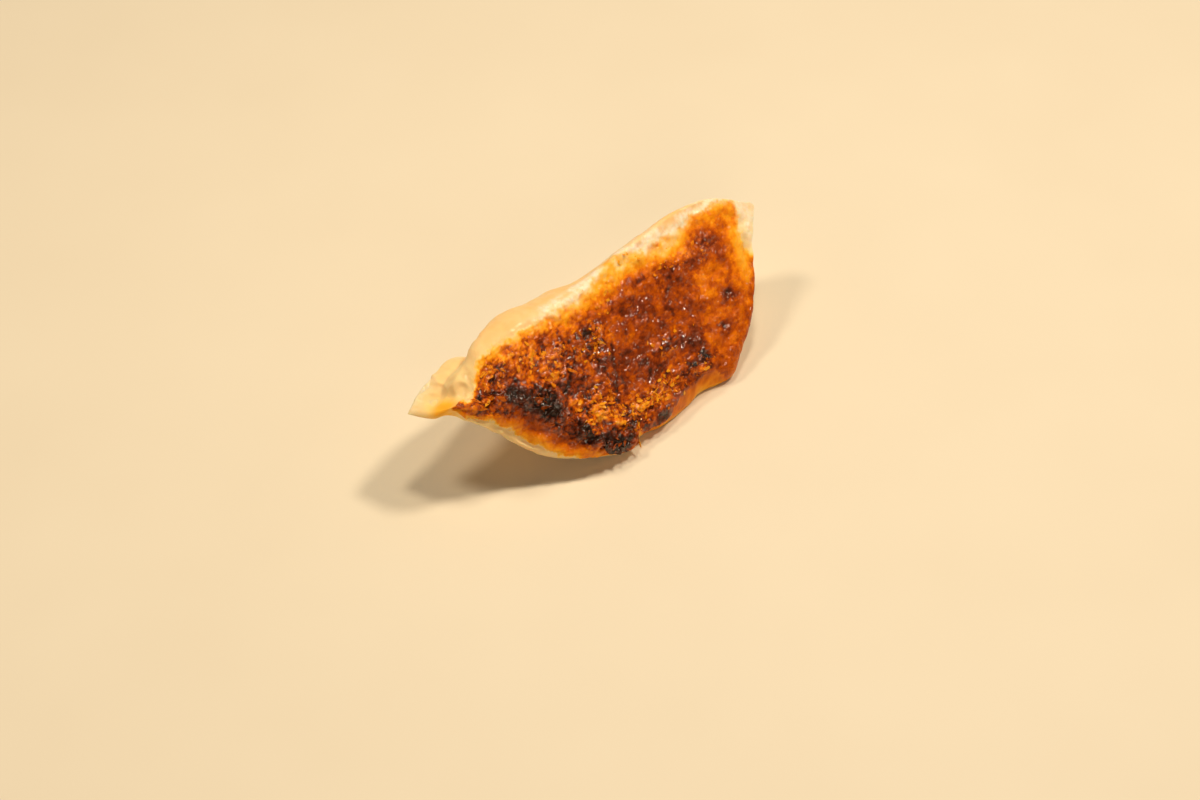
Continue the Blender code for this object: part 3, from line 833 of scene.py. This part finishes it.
def skin_material():
    """Fried dough, pale to burnt, with painted shade, a film of oil, and white of thin dough and painted
    highlight.
    """
    shader = Shader("fried_dough")
    brown_and_shade, fried, thin, coarse, frost_and_highlight = (shader.attribute(name) for name in SKIN_ATTRIBUTES)
    browned = shader.add(brown_and_shade, shader.times(crust_flecks(shader, brown_and_shade, coarse), fried))
    clouds = shader.spread(shader.noise(7.0 * MM), 0.35, 0.65, 0.0, 1.0)
    dough = shader.mix(clouds, srgb(243, 207, 150), srgb(240, 195, 130))
    dough = shader.mix(thin, dough, srgb(240, 208, 148))
    pale = shader.spread(browned, 0.03, 0.12, 1.0, 0.0)
    colour = shader.mix(pale, shader.ramp(browned, FRYING), dough)
    # Near white where the dough is pale, and where highlight and glow are painted.
    frost_and_highlight_share = shader.times(frost_and_highlight, shader.spread(shader.noise(0.9 * MM, 4.0), 0.35, 0.6, 0.3, 0.85))
    shader.set(Base_Color=shader.mix(frost_and_highlight_share, colour, srgb(255, 243, 226)),
               Subsurface_Weight=shader.spread(fried, 0.0, 1.0, 0.6, 0.16))
    crusted = shader.add(fried, frost_and_highlight)
    wetness = film_of_oil(shader, browned, coarse, crusted)
    oily(shader, shader.spread(crusted, 0.0, 1.0, 0.15, 1.0), wetness)
    return shader.material


def flake_material():
    """Oily golden crust, in the tone that each flake carries."""
    shader = Shader("crust_flakes")
    browned = shader.add(shader.attribute("brown_and_shade"), shader.wave(0.5 * MM, 3.0, 0.35))
    shader.set(Base_Color=shader.ramp(browned, FRYING), Subsurface_Weight=0.25)
    oily(shader, 0.5, 0.5)
    return shader.material


def make_skin():
    """The whole dumpling, as one closed mesh that stands for its solid.

    Gives its grid as it lies, how far it has browned, with painted shade added, and how crumbly it is at each
    point.
    """
    shares = station_shares(SKIN_PITCH)
    heights = ring_heights(SKIN_PITCH)
    grid = rounded_corners(shaped(shares, SKIN_PITCH), SKIN_PITCH)
    depth, fried = crust_extent(grid, heights)
    brown_and_shade = brownness_and_shade(grid, heights, depth, fried)
    frost_and_highlight = frost_and_painted_highlight(grid, heights, depth, fried)
    away_from_tips = np.clip(np.minimum(shares, 1 - shares) / TIP_FADE, 0, 1)[:, None]
    relief, shade = fine_relief(grid, heights, brown_and_shade, fried, depth)
    grid = grid + outward_normals(grid) * (relief * away_from_tips)[..., None]
    # Adds the painted shade of the crust's creases, and the painted light of their tops, to how far it has
    # browned.
    brown_and_shade = brown_and_shade + shade
    near_ends = smoothstep(0.2, 0.08, np.minimum(shares, 1 - shares))[:, None]
    thin = np.maximum(near_ends, smoothstep(0.75, 0.9, heights)[None]) * (1 - fried)
    crumbly = crumbliness(grid[..., 0] / MM, grid[..., 1] / MM) * fried
    past, _ = beside(CURL_RIDGE, grid)
    coarse = fried * np.clip(0.22 + 0.2 * smoothstep(0.0, -12.0, grid[..., 0] / MM) + 0.6 * crumbly, 0, 1)
    coarse *= 1 - 0.85 * smoothstep(0.8, 2.4, past / MM)
    values = dict(zip(SKIN_ATTRIBUTES, (brown_and_shade, fried, thin, coarse, frost_and_highlight)))
    attributes = {label: np.pad(value, ((END_RINGS, END_RINGS), (0, 0)), mode="edge")
                  for label, value in values.items()}
    placed = lay_down(with_rounded_ends(grid), solid_offset())
    mesh = mesh_from_grid("gyoza_skin", placed, attributes)
    mesh.materials.append(skin_material())
    skin = add_object("gyoza_skin", mesh)
    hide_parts("gyoza")
    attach(skin, "root")
    return placed[END_RINGS:-END_RINGS], brown_and_shade, crumbly


# Loose flakes: how many, and their sizes in millimetres.
FLAKES = 600
FLAKE_SEED = 7
FLAKE_CORNERS = 6
FLAKE_LENGTH = (0.6, 2.9)
FLAKE_WIDTH = 0.7
FLAKE_THICKNESS = 0.07
FLAKE_LIFT = 0.04

# Their proportions: width as a share of the length, the reach of the ragged corners, the most they bend, and
# how far they swing from the dumpling's length and lean out of the crust, in radians.
FLAKE_SLIMNESS = (0.3, 0.7)
FLAKE_RAGGED = (0.7, 1.15)
FLAKE_BEND = 0.5
FLAKE_SWING = 0.7
FLAKE_LEAN = 0.28

# How much paler a flake is than the crust below it, the palest and darkest that it may be, how strongly
# flakes gather where the crust is crumbly, and how many sections at each end carry none.
FLAKE_PALER = (0.05, 0.35)
FLAKE_TONES = (0.34, 0.7)
FLAKE_CROWDING = 1.5
BARE_SECTIONS = 6


def flake(rng, middle, normal, lengthwise):
    """One thin bent flake with ragged corners, as its points. It leans out of the crust at one end."""
    swing = rng.normal(0, FLAKE_SWING)
    side = np.cross(normal, lengthwise)
    along = lengthwise * cos(swing) + side * sin(swing)
    across = np.cross(normal, along)
    lean = abs(rng.normal(0, FLAKE_LEAN))
    rise = along * cos(lean) + normal * sin(lean)
    up = np.cross(rise, across)
    length = rng.uniform(*FLAKE_LENGTH) * rng.uniform(0.5, 1.0)
    width = min(FLAKE_WIDTH, length * rng.uniform(*FLAKE_SLIMNESS))
    bend = rng.uniform(-FLAKE_BEND, FLAKE_BEND)
    corners = []
    for corner in range(FLAKE_CORNERS):
        angle = 2 * pi * (corner + rng.uniform(-0.3, 0.3)) / FLAKE_CORNERS
        reach = rng.uniform(*FLAKE_RAGGED)
        corners.append((cos(angle) * length / 2 * reach, sin(angle) * width / 2 * reach))
    corners.append((0.0, 0.0))
    rows = []
    for share in (0.5, -0.5):
        for x, y in corners:
            height = bend * x * x / length + share * FLAKE_THICKNESS
            rows.append(middle + (rise * x + across * y + up * (height + FLAKE_LIFT)) * MM)
    return rows


def flake_faces(top):
    """The faces of one flake, from the number of its first point."""
    under = top + FLAKE_CORNERS + 1
    faces = []
    for i in range(FLAKE_CORNERS):
        j = (i + 1) % FLAKE_CORNERS
        faces.append((top + FLAKE_CORNERS, top + i, top + j))
        faces.append((under + FLAKE_CORNERS, under + j, under + i))
        faces.append((top + i, under + i, under + j, top + j))
    return faces


def make_flakes(grid, brown_and_shade, crumbly):
    """Loose golden flakes of crust, strewn where it has crumbled."""
    rng = np.random.default_rng(FLAKE_SEED)
    normals = outward_normals(grid)
    chance = crumbly ** FLAKE_CROWDING
    chance[:BARE_SECTIONS] = chance[-BARE_SECTIONS:] = 0
    places = rng.choice(chance.size, FLAKES, replace=False, p=(chance / chance.sum()).ravel())
    points, faces, tones = [], [], []
    for place in places:
        row, column = divmod(int(place), grid.shape[1])
        along = unit(grid[row + 1, column] - grid[row - 1, column])
        faces += flake_faces(len(points))
        points += flake(rng, grid[row, column], normals[row, column], along)
        tone = np.clip(brown_and_shade[row, column] - rng.uniform(*FLAKE_PALER), *FLAKE_TONES)
        tones += [tone] * (2 * FLAKE_CORNERS + 2)
    mesh = bpy.data.meshes.new("crust_flakes")
    mesh.from_pydata(points, [], faces)
    attribute = mesh.attributes.new("brown_and_shade", "FLOAT", "POINT")
    attribute.data.foreach_set("value", np.array(tones, np.float32))
    mesh.validate()
    mesh.materials.append(flake_material())
    flakes = add_object("crust_flakes", mesh)
    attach(flakes, "root")


# Half the side of the floor, in metres.
FLOOR_HALF = 3.0


def make_floor():
    """A plain pale floor, which isn't part of the dumpling."""
    corners = [(-FLOOR_HALF, -FLOOR_HALF, 0), (FLOOR_HALF, -FLOOR_HALF, 0),
               (FLOOR_HALF, FLOOR_HALF, 0), (-FLOOR_HALF, FLOOR_HALF, 0)]
    mesh = bpy.data.meshes.new("floor")
    mesh.from_pydata(corners, [], [(0, 1, 2, 3)])
    shader = Shader("pale_floor")
    tone = shader.noise(40 * MM, 2.0)
    shader.set(Base_Color=shader.mix(tone, srgb(231, 221, 200), srgb(226, 215, 193)), Roughness=0.6)
    mesh.materials.append(shader.material)
    add_object("floor", mesh)


# Soft round lamps: (name, place, size, power, colour), in metres and watts. They face the dumpling's middle.
LAMPS = [("key", (0.27, -0.10, 0.50), 0.09, 1.75, (1.0, 0.85, 0.66)),
         ("above", (0.08, 0.06, 0.60), 0.10, 1.35, (1.0, 0.85, 0.64)),
         ("back", (-0.18, 0.22, 0.52), 0.12, 1.15, (1.0, 0.85, 0.64)),
         ("fill", (-0.34, -0.44, 0.30), 0.24, 0.7, (1.0, 0.86, 0.66))]
LIT_POINT = (0.0, 0.0, 12 * MM)
ROOM_COLOUR = (1.0, 0.89, 0.74, 1.0)
ROOM_STRENGTH = 0.06


def light_scene():
    """Soft warm studio light, with a faint glow from all round."""
    world = bpy.data.worlds.new("studio")
    world.use_nodes = True
    background = world.node_tree.nodes["Background"]
    background.inputs["Color"].default_value = ROOM_COLOUR
    background.inputs["Strength"].default_value = ROOM_STRENGTH
    bpy.context.scene.world = world
    for name, place, size, power, colour in LAMPS:
        lamp = bpy.data.lights.new(name, "AREA")
        lamp.shape = "DISK"
        lamp.size = size
        lamp.energy = power
        lamp.color = colour
        thing = add_object(name, lamp)
        thing.location = place
        thing.rotation_euler = (Vector(LIT_POINT) - Vector(place)).to_track_quat("-Z", "Y").to_euler()


# The camera of the photograph, which is taken to be 1200 by 800 pixels.
VIEW_AZIMUTH = radians(-46)
VIEW_ELEVATION = radians(45)
LENS = 85.0
SENSOR = 36.0
PHOTO_WIDTH = 1200
PHOTO_HEIGHT = 800
PIXELS_PER_MM = 5.4
BASE_MIDDLE_PIXEL = (610, 330)
NEAREST_SEEN = 0.01


def place_camera(base_middle):
    """Puts the camera where the middle of the fried base shows at its pixel of the photograph."""
    back = Vector((sin(VIEW_AZIMUTH) * cos(VIEW_ELEVATION), -cos(VIEW_AZIMUTH) * cos(VIEW_ELEVATION),
                   sin(VIEW_ELEVATION)))
    right = Vector((cos(VIEW_AZIMUTH), sin(VIEW_AZIMUTH), 0))
    up = back.cross(right)
    distance = LENS / SENSOR * PHOTO_WIDTH / PIXELS_PER_MM * MM
    across = (BASE_MIDDLE_PIXEL[0] - PHOTO_WIDTH / 2) / PIXELS_PER_MM * MM
    above = (PHOTO_HEIGHT / 2 - BASE_MIDDLE_PIXEL[1]) / PIXELS_PER_MM * MM
    data = bpy.data.cameras.new("camera")
    data.lens = LENS
    data.sensor_width = SENSOR
    data.clip_start = NEAREST_SEEN
    camera = add_object("camera", data)
    camera.location = Vector(base_middle) + back * distance - right * across - up * above
    camera.rotation_euler = (-back).to_track_quat("-Z", "Y").to_euler()
    bpy.context.scene.camera = camera


make_flakes(*make_skin())
make_floor()
light_scene()
place_camera(solid_offset())
bpy.context.scene.view_settings.view_transform = "Standard"
